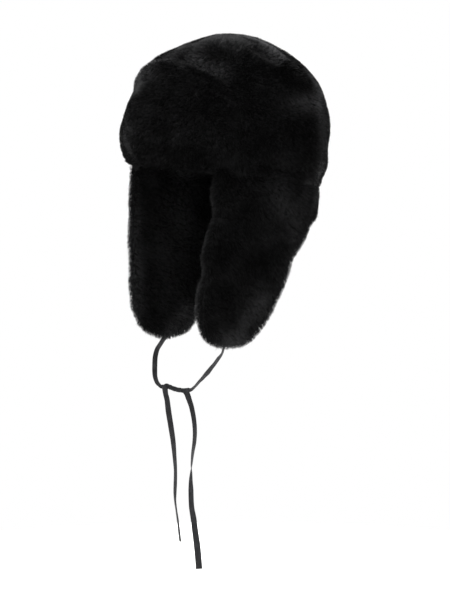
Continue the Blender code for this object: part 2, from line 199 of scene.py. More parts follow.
def node(tree, kind, inputs=None, **settings):
    """A new node, with its settings, and its inputs set or linked by name or number."""
    made = tree.nodes.new(kind)
    for key, value in settings.items():
        setattr(made, key, value)
    for key, value in (inputs or {}).items():
        if isinstance(value, bpy.types.NodeSocket):
            tree.links.new(value, made.inputs[key])
        else:
            made.inputs[key].default_value = value
    return made


def math_node(tree, operation, a, b=0.0):
    return node(tree, "ShaderNodeMath", {0: a, 1: b}, operation=operation).outputs[0]


def mix_colours(tree, share, a, b, blend="MIX"):
    inputs = {MIX_SHARE: share, MIX_FIRST: a, MIX_SECOND: b}
    return node(tree, "ShaderNodeMix", inputs, data_type="RGBA", blend_type=blend).outputs[MIX_COLOUR]


def pile_tone_group():
    """Colour of the pile: dark at its roots as painted shade deep in the pile, lighter towards its tips as
    painted sheen, with tone that varies at random and patches of painted highlight and shade.
    """
    name = "pile_tone"
    if name in bpy.data.node_groups:
        return bpy.data.node_groups[name]
    tree, given, out = new_group(
        name,
        [
            ("Root", "NodeSocketColor", (0.01, 0.01, 0.01, 1.0)),
            ("Tip", "NodeSocketColor", (0.05, 0.05, 0.05, 1.0)),
            ("Along", "NodeSocketFloat", 1.0),
            ("Tone_and_painted_light", "NodeSocketFloat", 0.5),
            ("Contrast", "NodeSocketFloat", 0.5),
        ],
        [("Colour", "NodeSocketColor")],
    )
    rise = math_node(tree, "POWER", given["Along"], TIP_POWER)
    colour = mix_colours(tree, rise, given["Root"], given["Tip"])
    centred = math_node(tree, "SUBTRACT", given["Tone_and_painted_light"], TONE_MIDDLE)
    gain = math_node(tree, "ADD", math_node(tree, "MULTIPLY", centred, given["Contrast"]), 1.0)
    gain = math_node(tree, "MAXIMUM", gain, TONE_LEAST)
    shade = node(tree, "ShaderNodeCombineColor", {0: gain, 1: gain, 2: gain}).outputs[0]
    tree.links.new(mix_colours(tree, 1.0, colour, shade, "MULTIPLY"), out["Colour"])
    return tree


def grain_group():
    """Fine uneven relief with small pits, as on leather or felt, with this many lumps to a metre."""
    name = "fine_grain"
    if name in bpy.data.node_groups:
        return bpy.data.node_groups[name]
    tree, given, out = new_group(
        name,
        [("Lumps", "NodeSocketFloat", 900.0), ("Pits", "NodeSocketFloat", 0.4)],
        [("Height", "NodeSocketFloat"), ("Wear", "NodeSocketFloat")],
    )
    place = node(tree, "ShaderNodeTexCoord").outputs["Object"]
    lumps = node(tree, "ShaderNodeTexNoise", {"Vector": place, "Scale": given["Lumps"], "Detail": 4.0})
    cells = node(tree, "ShaderNodeTexVoronoi", {"Vector": place, "Scale": given["Lumps"]})
    pits = math_node(tree, "MULTIPLY", cells.outputs["Distance"], given["Pits"])
    tree.links.new(math_node(tree, "ADD", lumps.outputs[0], pits), out["Height"])
    wide = math_node(tree, "MULTIPLY", given["Lumps"], WEAR_SIZE)
    broad = node(tree, "ShaderNodeTexNoise", {"Vector": place, "Scale": wide, "Detail": 2.0})
    spread = node(tree, "ShaderNodeMapRange", {"Value": broad.outputs[0], "From Min": 0.35, "From Max": 0.7})
    tree.links.new(spread.outputs[0], out["Wear"])
    return tree


def new_material(name, **constants):
    made = bpy.data.materials.new(name)
    made.use_nodes = True
    shader = made.node_tree.nodes["Principled BSDF"]
    for key, value in constants.items():
        shader.inputs[key.replace("_", " ")].default_value = value
    return made, made.node_tree, shader.inputs


def add_bump(tree, sockets, height, strength, distance):
    bump = node(tree, "ShaderNodeBump", {"Height": height, "Strength": strength, "Distance": distance})
    tree.links.new(bump.outputs[0], sockets["Normal"])


def grained(tree, lumps, pits):
    return node(tree, "ShaderNodeGroup", {"Lumps": lumps, "Pits": pits}, node_tree=grain_group()).outputs


def toned(tree, settings, along, tone_and_painted_light):
    """The pile's tone, for a place along a strand and a lightness, which on the strands holds random tone and
    the painted highlights and painted shade of the patches.
    """
    inputs = {
        "Root": (*settings.root_colour, 1.0),
        "Tip": (*settings.tip_colour, 1.0),
        "Along": along,
        "Tone_and_painted_light": tone_and_painted_light,
        "Contrast": settings.contrast,
    }
    return node(tree, "ShaderNodeGroup", inputs, node_tree=pile_tone_group()).outputs["Colour"]


def pile_material(settings):
    if "black_pile" in bpy.data.materials:
        return bpy.data.materials["black_pile"]
    made, tree, sockets = new_material("black_pile", Roughness=0.5, Specular_IOR_Level=settings.gloss)
    values = [node(tree, "ShaderNodeAttribute", attribute_name=key).outputs["Fac"] for key in STRAND_VALUES]
    tree.links.new(toned(tree, settings, *values), sockets["Base Color"])
    return made


def ground_material(settings):
    """The short dense underwool that shows between the strands, in a tone near the roots' painted shade."""
    if "underwool" in bpy.data.materials:
        return bpy.data.materials["underwool"]
    made, tree, sockets = new_material("underwool", Roughness=0.9, Specular_IOR_Level=0.1)
    grain = grained(tree, lumps=1400.0, pits=0.6)
    low = math_node(tree, "MULTIPLY", grain["Height"], WOOL_ALONG)
    tree.links.new(toned(tree, settings, low, grain["Wear"]), sockets["Base Color"])
    add_bump(tree, sockets, grain["Height"], strength=0.8, distance=0.0008)
    return made


def lining_material():
    """Plain woven backing inside the crown."""
    made, tree, sockets = new_material("plain_backing", Roughness=0.8, Specular_IOR_Level=0.1)
    place = node(tree, "ShaderNodeTexCoord").outputs["Object"]
    inputs = {"Vector": place, "Scale": 320.0, "Distortion": 1.5, "Detail": 1.0}
    threads = [
        node(tree, "ShaderNodeTexWave", inputs, wave_type="BANDS", bands_direction=way).outputs["Fac"]
        for way in "XZ"
    ]
    weave = math_node(tree, "MULTIPLY", *threads)
    grain = grained(tree, lumps=700.0, pits=0.3)
    colour = mix_colours(tree, weave, THREAD_DARK, THREAD_LIGHT)
    wear = math_node(tree, "MULTIPLY", grain["Wear"], THREAD_WEAR)
    worn = mix_colours(tree, wear, colour, THREAD_WORN)
    tree.links.new(worn, sockets["Base Color"])
    add_bump(tree, sockets, weave, strength=0.6, distance=0.0004)
    return made


def lace_material(settings):
    made, tree, sockets = new_material("black_lace", Specular_IOR_Level=0.06)
    grain = grained(tree, lumps=2600.0, pits=0.7)
    light = tuple(LACE_WORN * part for part in settings.colour)
    colour = mix_colours(tree, grain["Wear"], (*settings.colour, 1.0), (*light, 1.0))
    tree.links.new(colour, sockets["Base Color"])
    rough = node(tree, "ShaderNodeMapRange", {"Value": grain["Wear"], "To Min": 0.6, "To Max": 0.8})
    tree.links.new(rough.outputs[0], sockets["Roughness"])
    add_bump(tree, sockets, grain["Height"], strength=0.5, distance=0.0002)
    return made


# Soft folds of the hat. Each row is a line's start and end, its reach and its height, pressed in below zero.
CROWN_FOLDS = (
    ((0.009, -0.069, 0.134), (0.070, -0.055, 0.104), 0.010, -0.0040),
    ((0.060, -0.004, 0.143), (0.077, 0.013, 0.131), 0.011, -0.0040),
    ((0.102, 0.003, 0.080), (0.092, 0.050, 0.084), 0.009, -0.0060),
    ((0.084, 0.026, 0.115), (0.088, 0.042, 0.108), 0.014, 0.0035),
    ((0.101, 0.027, 0.051), (0.094, 0.062, 0.041), 0.020, 0.0022),
    ((0.096, -0.027, 0.012), (0.099, 0.027, 0.006), 0.008, -0.0030),
    ((-0.060, 0.075, 0.090), (0.020, 0.100, 0.110), 0.012, -0.0035),
    ((-0.095, 0.010, 0.060), (-0.080, 0.065, 0.080), 0.011, -0.0035),
    ((-0.085, -0.030, 0.100), (-0.045, 0.010, 0.148), 0.014, 0.0025),
    ((0.030, 0.115, 0.050), (0.070, 0.095, 0.030), 0.012, -0.0030),
    ((-0.022, -0.028, 0.152), (0.014, -0.012, 0.158), 0.028, -0.0024),
    ((0.040, 0.000, 0.156), (0.052, 0.010, 0.153), 0.011, -0.0018),
    ((0.076, 0.079, 0.089), (0.077, 0.080, 0.086), 0.012, 0.0020),
    ((0.076, 0.080, -0.005), (0.070, 0.086, -0.008), 0.012, -0.0030),
)
PEAK_FOLDS = (
    ((-0.040, -0.105, 0.075), (-0.005, -0.110, 0.050), 0.014, 0.0020),
    ((0.015, -0.105, 0.040), (0.050, -0.090, 0.070), 0.012, -0.0020),
    ((-0.050, -0.106, 0.024), (-0.047, -0.104, 0.008), 0.018, -0.0048),
    ((-0.038, -0.087, 0.117), (-0.030, -0.086, 0.124), 0.012, 0.0032),
)
FLAP_FOLDS = (
    ((0.100, -0.004, -0.013), (0.098, 0.025, -0.025), 0.016, 0.0020),
    ((0.090, -0.035, -0.070), (0.086, -0.010, -0.090), 0.012, -0.0025),
    ((0.074, -0.052, -0.135), (0.071, -0.038, -0.165), 0.011, 0.0022),
    ((-0.095, -0.030, -0.060), (-0.085, 0.000, -0.110), 0.014, -0.0025),
    ((-0.040, 0.100, -0.020), (0.040, 0.102, -0.024), 0.012, 0.0020),
    ((0.081, 0.067, -0.044), (0.080, 0.066, -0.055), 0.014, -0.0040),
    ((0.072, 0.079, -0.030), (0.074, 0.077, -0.038), 0.013, -0.0012),
    ((0.061, -0.084, -0.158), (0.061, -0.070, -0.180), 0.014, 0.0040),
    ((0.080, 0.020, -0.114), (0.079, 0.020, -0.121), 0.011, 0.0022),
    ((0.081, 0.040, -0.086), (0.081, 0.034, -0.094), 0.009, -0.0018),
    ((-0.056, -0.007, -0.168), (-0.056, -0.013, -0.178), 0.013, 0.0045),
)

# How far the left ear flap's front edge is moved at each height, from its tip to its top
EDGE_MOVES = (
    (-0.175, 0.0), (-0.156, 0.0012), (-0.138, 0.0), (-0.116, 0.0030), (-0.106, 0.0060), (-0.098, 0.0060),
    (-0.087, 0.0023), (-0.080, 0.0035), (-0.067, 0.0045), (-0.051, 0.0070), (-0.036, 0.0080),
    (-0.021, 0.0030), (-0.010, 0.0),
)
EDGE_FROM, EDGE_REACH = -0.048, 0.030
EDGE_HEADING = Vector((0.643, 0.766, 0.0))  # to the wearer's left and back

# How far the right ear flap's rear edge is moved the same way
REAR_MOVES = ((-0.175, 0.0), (-0.155, 0.0020), (-0.130, 0.0040), (-0.090, 0.0040), (-0.070, 0.0))
REAR_FROM, REAR_REACH = -0.030, 0.025

# Patches of painted highlight and painted shade: the pile's colour is made lighter in them as painted
# highlight, and darker below zero as painted shade. The height of these is a tone.
PAINTED_LIGHT_PATCHES = (
    ((-0.031, -0.088, 0.124), (-0.057, -0.087, 0.095), 0.014, 2.2),
    ((-0.026, -0.072, 0.130), (-0.006, -0.062, 0.140), 0.010, 2.6),
    ((-0.031, -0.056, 0.143), (0.001, -0.053, 0.147), 0.012, 1.8),
    ((0.006, -0.030, 0.156), (0.034, -0.006, 0.157), 0.012, 1.5),
    ((0.018, -0.052, 0.146), (0.044, -0.030, 0.149), 0.010, 1.6),
    ((0.026, 0.008, 0.159), (0.042, 0.034, 0.148), 0.010, 3.2),
    ((0.040, -0.030, 0.146), (0.058, -0.036, 0.137), 0.010, 1.6),
    ((0.062, -0.014, 0.143), (0.070, -0.004, 0.136), 0.009, -1.0),
    ((0.016, -0.066, 0.134), (0.052, -0.058, 0.119), 0.014, 3.0),
    ((0.054, -0.070, 0.114), (0.066, -0.046, 0.124), 0.012, 0.8),
    ((0.064, 0.012, 0.141), (0.072, 0.015, 0.134), 0.010, 4.0),
    ((0.048, 0.022, 0.151), (0.066, 0.028, 0.140), 0.010, 3.0),
    ((0.077, 0.030, 0.130), (0.080, 0.044, 0.119), 0.009, -2.0),
    ((0.072, 0.066, 0.114), (0.076, 0.076, 0.098), 0.009, 3.2),
    ((0.102, 0.008, 0.080), (0.085, 0.067, 0.087), 0.010, 3.6),
    ((0.090, 0.062, 0.080), (0.090, 0.070, 0.012), 0.011, 1.4),
    ((0.085, 0.063, -0.018), (0.094, 0.040, -0.014), 0.012, 1.0),
    ((0.085, 0.024, -0.092), (0.082, 0.016, -0.118), 0.009, 0.7),
    ((0.068, -0.066, -0.172), (0.069, -0.042, -0.182), 0.009, 0.9),
    ((0.101, -0.010, -0.012), (0.094, 0.026, -0.055), 0.018, 1.3),
    ((0.070, -0.048, -0.184), (0.076, -0.012, -0.142), 0.016, 1.9),
    ((-0.057, -0.014, -0.160), (-0.054, -0.036, -0.178), 0.011, 2.8),
    ((-0.060, -0.086, -0.040), (-0.052, -0.086, -0.150), 0.010, 1.2),
    ((0.084, -0.030, -0.085), (0.083, -0.016, -0.092), 0.011, -0.4),
    ((0.084, 0.018, 0.118), (0.086, 0.045, 0.105), 0.013, -0.8),
    ((0.101, 0.020, 0.058), (0.099, 0.034, 0.030), 0.016, -0.4),
    ((-0.085, 0.040, 0.080), (-0.060, 0.085, 0.060), 0.016, 1.4),
    ((0.000, 0.112, 0.085), (0.045, 0.105, 0.060), 0.014, 1.2),
    ((-0.095, -0.020, -0.040), (-0.088, 0.000, -0.090), 0.016, 1.2),
    ((-0.080, -0.015, -0.025), (-0.060, -0.035, -0.110), 0.036, 0.9),
    ((-0.084, 0.008, -0.008), (-0.077, 0.010, -0.060), 0.020, 1.8),
    ((-0.010, -0.115, 0.022), (0.058, -0.099, 0.016), 0.016, -1.7),
    ((-0.069, -0.099, 0.036), (-0.062, -0.095, 0.080), 0.017, -2.0),
    ((0.040, -0.078, 0.122), (0.074, -0.058, 0.100), 0.006, -1.5),
    ((-0.035, -0.040, 0.146), (0.010, -0.010, 0.160), 0.012, 1.0),
)

# Ground and pile

Skin = namedtuple("Skin", "points triangles normals lie lean depth")


def smooth_step(value):
    share = np.clip(value, 0.0, 1.0)
    return share * share * (3 - 2 * share)


def lengths(vectors):
    return np.linalg.norm(vectors, axis=1, keepdims=True)


def units(vectors):
    return vectors / np.maximum(lengths(vectors), TINY)


def along_surface(vectors, normals):
    return vectors - normals * (vectors * normals).sum(1, keepdims=True)


def drift(points, size, shift):
    """Smooth noise at each point, about -1 to 1, with lumps of this size."""
    offset = Vector((shift, 2 * shift, 3 * shift))
    return np.array([noise.noise(Vector(p) / size + offset) for p in points])


def fine_mesh(name, source):
    """The frame's solid, welded and made finer and smoother."""
    shape = bmesh.new()
    shape.from_mesh(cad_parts[source].data)
    bmesh.ops.remove_doubles(shape, verts=shape.verts, dist=WELD)
    rough = mesh_of(name, shape)
    holder = bpy.data.objects.new(name, rough)
    link(holder)
    finer = holder.modifiers.new("finer", "SUBSURF")
    finer.levels = finer.render_levels = 1
    mesh = bpy.data.meshes.new_from_object(holder.evaluated_get(bpy.context.evaluated_depsgraph_get()))
    bpy.data.objects.remove(holder)
    bpy.data.meshes.remove(rough)
    mesh.name = name
    mesh.shade_smooth()
    return mesh


def read_values(items, key, width, kind=np.float32):
    flat = np.empty(len(items) * width, kind)
    items.foreach_get(key, flat)
    return flat.reshape(-1, width)


def read_points(mesh):
    return read_values(mesh.vertices, "co", 3).astype(float)


def read_normals(mesh):
    return read_values(mesh.vertex_normals, "vector", 3).astype(float)


def write_points(mesh, points):
    mesh.vertices.foreach_set("co", points.astype(np.float32).ravel())
    mesh.update()


def read_triangles(mesh):
    mesh.calc_loop_triangles()
    return read_values(mesh.loop_triangles, "vertices", 3, np.int32)


def read_faces(mesh):
    """The corners of each face of a mesh of quads."""
    return read_values(mesh.loops, "vertex_index", 1, np.int32).reshape(-1, 4)


def search_tree(mesh):
    return BVHTree.FromPolygons(read_points(mesh).tolist(), read_triangles(mesh).tolist())


def gap_to(source, points):
    """How far each point is from a solid of the frame."""
    tree = search_tree(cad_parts[source].data)
    return np.array([tree.find_nearest(Vector(p))[3] for p in points])


def bring_out(mesh, neighbour, gaps):
    """Moves each corner that is inside the neighbour, or nearer than its gap, to that gap over it."""
    tree = search_tree(neighbour)
    points = read_points(mesh)
    for k, heading in enumerate(-to_axis(points)):
        point, outward = Vector(points[k]), Vector(heading)
        spot, normal = tree.ray_cast(point, outward)[:2]
        inside = spot is not None and normal.dot(outward) > 0
        if not inside:
            spot, normal = tree.find_nearest(point)[:2]
        if inside or (point - spot).dot(normal) < gaps[k]:
            points[k] = spot + normal * gaps[k]
    write_points(mesh, points)


def over_rim(points):
    """Each point's height over the tilted rim."""
    return points[:, 2] + points[:, 1] * math.tan(RIM_TILT)


def nap(points, normals, settings, shift):
    """Which way the pile lies at each point, along the surface, and how far it leans from upright."""
    heading = np.array([[0.0, 0.0, -1.0]]) + NAP_INWARD * to_axis(points)
    lie = units(along_surface(heading, normals))
    swirl = SWIRL_SHARE * drift(points, SWIRL_SIZE, shift)
    swirl += FINE_SWIRL_SHARE * drift(points, FINE_SWIRL_SIZE, shift + FINE_SWIRL_SHIFT)
    side = np.cross(normals, lie)
    turn = (swirl * settings.swirl)[:, None]
    lie = lie * np.cos(turn) + side * np.sin(turn)
    lean = settings.lean * (1 + LEAN_SHARE * drift(points, LEAN_SIZE, shift + LEAN_SHIFT))
    return lie, lean


def relief(points, folds):
    """How far the folds lift or press in the surface at each point. With the patches of painted highlight and
    shade, it is how much lighter or darker they paint the pile's colour.
    """
    risen = np.zeros(len(points))
    for start, end, reach, height in folds:
        run = np.array(end) - np.array(start)
        share = np.clip(((points - start) @ run) / max(run @ run, TINY), 0.0, 1.0)
        away = lengths(points - start - share[:, None] * run)[:, 0]
        risen += height * np.exp(-((away / reach) ** 2))
    return risen


def to_axis(points):
    """From each point straight to the upright axis of the head."""
    return units((np.array(HEAD_MIDDLE) - points) * np.array([1.0, 1.0, 0.0]))


def around(points):
    """Each point's angle from the front, in degrees, the same on both sides."""
    away = points - np.array(HEAD_MIDDLE)
    return np.degrees(np.arctan2(np.abs(away[:, 0]), -away[:, 1]))


def below(points, height):
    return smooth_step((height - points[:, 2]) / PEAK_EASE)


def make_ground(name, mesh, depth, rise, finish, shift, inward=0.0):
    """Sinks the skin under the solid by its depth, with folds and soft lumps, and moves it in towards the
    head's axis where that is given. Returns the piece."""
    points, normals = read_points(mesh), read_normals(mesh)
    fine = FINE_LUMPS * drift(points, FINE_LUMPS * LUMP_SIZE, shift + FINE_LUMP_SHIFT)
    uneven = LUMP_HEIGHT * (drift(points, LUMP_SIZE, shift) + fine)
    sunk = points + normals * (rise + uneven * (depth > 0) - depth)[:, None]
    sunk += np.reshape(inward, (-1, 1)) * to_axis(points)
    write_points(mesh, sunk)
    return add_piece(name, mesh, finish)


def clump_of(points, size):
    """The middle of each point's clump, out of one to each cell of a grid, and a number for the clump."""
    home = np.floor(points / size).astype(np.int64)
    nearest = np.full(len(points), np.inf)
    middle, number = np.zeros_like(points), np.zeros(len(points))
    for step in np.ndindex(3, 3, 3):
        cell = home + np.array(step) - 1
        key = (cell * np.array(SCATTER_AXES)).sum(1)
        parts = []
        for salt in SCATTER_SALTS:
            mixed = (key * (2 * salt + 1) + salt * SCATTER_STEP) & SCATTER_MASK
            mixed = ((mixed ^ (mixed >> 15)) * SCATTER_MIX) & SCATTER_MASK
            parts.append((mixed ^ (mixed >> 13)) % SCATTER_PARTS / SCATTER_PARTS)
        place = (cell + np.stack(parts[:3], 1)) * size
        far = ((place - points) ** 2).sum(1)
        closer = far < nearest
        nearest[closer] = far[closer]
        middle[closer] = place[closer]
        number[closer] = parts[3][closer]
    return middle, number


def sample_skin(skin, chosen, count, dice):
    """Roots spread evenly over the chosen triangles: where they are, and the skin's values there."""
    corners = skin.triangles[chosen]
    a, b, c = (skin.points[corners[:, k]] for k in range(3))
    area = np.linalg.norm(np.cross(b - a, c - a), axis=1)
    ends = np.cumsum(area) / area.sum()
    picks = np.searchsorted(ends, (np.arange(count) + dice.random(count)) / count)
    corners = corners[np.minimum(picks, len(corners) - 1)]
    u, v = dice.random(count), dice.random(count)
    over = u + v > 1
    u[over], v[over] = 1 - u[over], 1 - v[over]
    share = np.stack([1 - u - v, u, v], 1)

    def blended(values):
        found = values[corners]
        return (found * (share[:, :, None] if found.ndim == 3 else share)).sum(1)

    normals = units(blended(skin.normals))
    return blended(skin.points), normals, blended(skin.lie), blended(skin.lean), blended(skin.depth)


def strand_mesh(name, roots, tips, across, tone_and_painted_light):
    """One mesh of flat strands, each a narrow strip that tapers towards its tip."""
    count = len(roots)
    at_tip = TIP_SHARE * across
    points = np.stack([roots - across, roots + across, tips + at_tip, tips - at_tip], 1)
    mesh = bpy.data.meshes.new(name)
    mesh.vertices.add(4 * count)
    mesh.vertices.foreach_set("co", points.astype(np.float32).ravel())
    mesh.loops.add(4 * count)
    mesh.loops.foreach_set("vertex_index", np.arange(4 * count, dtype=np.int32))
    mesh.polygons.add(count)
    mesh.polygons.foreach_set("loop_start", np.arange(0, 4 * count, 4, dtype=np.int32))
    mesh.update(calc_edges=True)
    for key, values in zip(STRAND_VALUES, (np.tile([0.0, 0.0, 1.0, 1.0], count), np.repeat(tone_and_painted_light, 4))):
        made = mesh.attributes.new(key, "FLOAT", "POINT")
        made.data.foreach_set("value", values.astype(np.float32))
    add_strand_map(mesh, count)
    return mesh


def add_strand_map(mesh, count):
    """A map on which each strand has a small square of its own, root at the bottom and tip at the top."""
    side = math.ceil(math.sqrt(count))
    cell = np.arange(count)
    corner = np.stack([cell % side, cell // side], 1) / side
    strip = np.array(STRAND_STRIP) / side
    places = corner[:, None, :] + strip[None, :, :]
    layer = mesh.uv_layers.new(name="OFBake")
    layer.uv.foreach_set("vector", places.astype(np.float32).ravel())


def grow_pile(name, skin, chosen, count, settings, seed):
    """Strands over the chosen triangles of a skin, leaning with its nap and drawn together in clumps."""
    dice = np.random.default_rng(seed)
    roots, normals, lie, lean, depth = sample_skin(skin, chosen, count, dice)
    lie = units(along_surface(lie, normals))
    middle, number = clump_of(roots, settings.clump_size)
    pull = along_surface(middle - roots, normals)
    lean = lean + LEAN_SPREAD * dice.standard_normal(count)
    turn = TURN_SPREAD * dice.standard_normal(count)[:, None]
    lie = lie * np.cos(turn) + np.cross(normals, lie) * np.sin(turn)
    tall = depth + settings.fuzz * (FUZZ_LEAST + FUZZ_MORE * number) + ROOTED
    tall = np.clip(tall * (1 + TALL_SPREAD * dice.standard_normal(count)), MILLIMETRE, None)
    reach = (tall / np.maximum(np.cos(lean), LEAST_UPRIGHT))[:, None]
    heading = normals * np.cos(lean)[:, None] + lie * np.sin(lean)[:, None]
    roots = roots - normals * ROOTED
    tips = roots + reach * heading + pull * settings.clumping
    ahead = units(tips - roots)
    flat = units(np.cross(ahead, normals))
    roll = (ROLL_MOST * (2 * dice.random(count) - 1))[:, None]
    across = flat * np.cos(roll) + np.cross(ahead, flat) * np.sin(roll)
    wide = settings.strand_width * (WIDTH_LEAST + WIDTH_MORE * dice.random(count)) / 2
    broad = BRUSH_TONE * drift(roots, BRUSH_SIZE, seed)
    # Tone that varies at random by clump, by strand and in broad lumps, plus the patches of painted highlight
    # and painted shade
    tone_and_painted_light = CLUMP_TONE * number + STRAND_TONE * dice.random(count) + BASE_TONE + broad + relief(roots, PAINTED_LIGHT_PATCHES)
    mesh = strand_mesh(name, roots, tips, across * wide[:, None], tone_and_painted_light)
    add_piece(name, mesh, [pile_material(settings)])


def skin_from(mesh, depth, settings, shift):
    points, normals = read_points(mesh), read_normals(mesh)
    lie, lean = nap(points, normals, settings, shift)
    return Skin(points, read_triangles(mesh), normals, lie, lean, depth)


def all_corners(flags, triangles):
    return flags[triangles].all(1)


# Laces, along the routes of the source

TIE_WIDE = 0.006
TIE_THICK = 0.001
LACE_EDGE = math.radians(35.0)
TIE_GAP = 0.0003  # between the middles of two laces in the knot, besides a thickness
TIE_STEPS, KNOT_STEPS = 8, 2  # finer frames between two stops, along a tie and in the knot
TANGENT_STEP = 0.01
TIE_HIDDEN = 0.007  # how far a lace goes up into the pile over its flap's tip
LEFT_START = (0.0586, -0.0513, -0.1910)
RIGHT_START = (-0.0609, -0.0420, -0.1918)

# Each row of a route is a point, a facing and, where it isn't the tie's, a width. A facing is the side that
# the lace's flat face looks to, in degrees from the front to the wearer's left.
RIGHT_TIE_TO_KNOT = (
    (-0.0589, -0.0494, -0.1981, 92),
    (-0.0572, -0.0552, -0.2034, 80),
    (-0.0559, -0.0589, -0.2111, 66),
    (-0.0530, -0.0619, -0.2188, 54),
    (-0.0498, -0.0646, -0.2264, 66),
    (-0.0467, -0.0665, -0.2329, 82),
    (-0.0434, -0.0669, -0.2384, 94),
    (-0.0406, -0.0657, -0.2420, 106, 0.0056),
    (-0.0374, -0.0638, -0.2439, 112, 0.0050),
)
RIGHT_TIE_FROM_KNOT = (
    (-0.0181, -0.0428, -0.2512, 52, 0.0066),
    (-0.0165, -0.0417, -0.2557, 54, 0.0066),
    (-0.0150, -0.0409, -0.2604, 60, 0.0062),
    (-0.0127, -0.0397, -0.2678, 76),
    (-0.0110, -0.0377, -0.2818, 86),
    (-0.0115, -0.0359, -0.2962, 92),
    (-0.0133, -0.0353, -0.3094, 97),
    (-0.0150, -0.0362, -0.3213, 110),
    (-0.0160, -0.0372, -0.3354, 127),
    (-0.0160, -0.0378, -0.3448, 158),
    (-0.0158, -0.0386, -0.3540, 180),
    (-0.0149, -0.0391, -0.3656, 204, 0.0064),
    (-0.0140, -0.0395, -0.3773, 202, 0.0066),
    (-0.0133, -0.0392, -0.3866, 205, 0.0067),
    (-0.0126, -0.0372, -0.3986, 216, 0.0070),
    (-0.0124, -0.0351, -0.4131, 222, 0.0073),
    (-0.0116, -0.0326, -0.4323, 229, 0.0077),
    (-0.0106, -0.0315, -0.4489, 230, 0.0077),
    (-0.0101, -0.0310, -0.4589, 230, 0.0077),
)
LEFT_TIE_TO_KNOT = (
    (0.0545, -0.0491, -0.1952, 102),
    (0.0500, -0.0477, -0.1992, 92),
    (0.0454, -0.0468, -0.2030, 86),
    (0.0360, -0.0453, -0.2110, 85),
    (0.0279, -0.0446, -0.2176, 80),
    (0.0201, -0.0438, -0.2242, 73, 0.0062),
    (0.0099, -0.0421, -0.2313, 83),
    (0.0022, -0.0414, -0.2368, 90),
    (-0.0055, -0.0407, -0.2424, 91),
    (-0.0130, -0.0410, -0.2468, 86, 0.0054),
)
LEFT_TIE_FROM_KNOT = (
    (-0.0307, -0.0625, -0.2429, 50, 0.0066),
    (-0.0306, -0.0645, -0.2454, 50, 0.0066),
    (-0.0294, -0.0647, -0.2513, 50),
    (-0.0282, -0.0634, -0.2591, 38, 0.0062),
    (-0.0278, -0.0618, -0.2721, 46, 0.0066),
    (-0.0286, -0.0579, -0.2890, 46, 0.0064),
    (-0.0285, -0.0547, -0.3069, 27, 0.0062),
    (-0.0285, -0.0527, -0.3247, 7),
    (-0.0273, -0.0522, -0.3423, -7),
    (-0.0263, -0.0533, -0.3573, -4),
    (-0.0259, -0.0541, -0.3678, -9),
    (-0.0258, -0.0540, -0.3772, -21),
    (-0.0250, -0.0530, -0.3878, -26),
    (-0.0241, -0.0514, -0.4009, -22),
    (-0.0239, -0.0495, -0.4153, -18),
    (-0.0240, -0.0480, -0.4260, -19),
)

# Half knot: the two laces wound round each other between two points
KNOT_RIGHT_END = Vector((-0.0205, -0.0453, -0.2484))
KNOT_LEFT_END = Vector((-0.0298, -0.0588, -0.2439))
KNOT_TURNS = 1.5
KNOT_STOPS = 19
KNOT_WIDE = 0.0050
KNOT_SAG = 0.0009
KNOT_TILT = 0.6
KNOT_FACING = math.radians(50.0)

# The lace's section, as shares of half its width and half its thickness
SECTION = ((1.0, 0.0), (0.98, 0.85), (0.5, 1.0), (-0.5, 1.0), (-0.98, 0.85))

Frame = namedtuple("Frame", "point facing along wide")


def frame_of(x, y, z, facing, wide=TIE_WIDE):
    look = math.radians(facing)
    return Frame(Vector((x, y, z)), Vector((math.sin(look), -math.cos(look), 0.0)), None, wide)


def knot_frames(phase):
    """The frames of one lace through the knot, from its right end to its left end. It winds round the other
    one, and is half as wide beside it. The two cut into each other, by up to half their thickness."""
    axis = (KNOT_LEFT_END - KNOT_RIGHT_END).normalized()
    look = Vector((math.sin(KNOT_FACING), -math.cos(KNOT_FACING), 0.0))
    facing = (look - axis * axis.dot(look)).normalized()
    side = axis.cross(facing)
    frames = []
    for k in range(KNOT_STOPS):
        share = k / (KNOT_STOPS - 1)
        turn = math.tau * KNOT_TURNS * share + phase
        sag = Vector((0, 0, KNOT_SAG * math.sin(math.pi * share)))
        middle = KNOT_RIGHT_END.lerp(KNOT_LEFT_END, share) - sag
        away = facing * math.cos(turn) * (TIE_THICK + TIE_GAP) / 2 + side * math.sin(turn) * KNOT_WIDE / 4
        tilted = facing + side * KNOT_TILT * math.sin(turn)
        wide = KNOT_WIDE * (1 + abs(math.cos(turn))) / 2
        frames.append(Frame(middle + away, tilted, axis, wide))
    return frames


def between(a, b, c, d, s):
    """A smooth curve from b to c, bent by their neighbours."""
    return (b * 2 + (c - a) * s + (2 * a - 5 * b + 4 * c - d) * s**2 + (3 * b - a - 3 * c + d) * s**3) / 2


def smooth_frames(frames):
    """More frames between the given ones. A lace looks the same from both sides, so facings may flip."""
    facings = [frames[0].facing]
    for given in frames[1:]:
        facings.append(given.facing if given.facing.dot(facings[-1]) >= 0 else -given.facing)
    points = [given.point for given in frames]
    points = [points[0] + (points[0] - points[1])] + points + [points[-1] + (points[-1] - points[-2])]
    finer = []
    for k in range(len(frames) - 1):
        here, there = frames[k], frames[k + 1]
        steps = KNOT_STEPS if here.along and there.along else TIE_STEPS
        for n in range(steps):
            s = n / steps
            ease = s * s * (3 - 2 * s)
            point = between(*points[k:k + 4], s)
            along = between(*points[k:k + 4], s + TANGENT_STEP) - between(*points[k:k + 4], s - TANGENT_STEP)
            facing = facings[k].lerp(facings[k + 1], s)
            wide = here.wide + (there.wide - here.wide) * ease
            finer.append(Frame(point, facing, along, wide))
    finer.append(frames[-1]._replace(facing=facings[-1], along=points[-1] - points[-2]))
    return finer


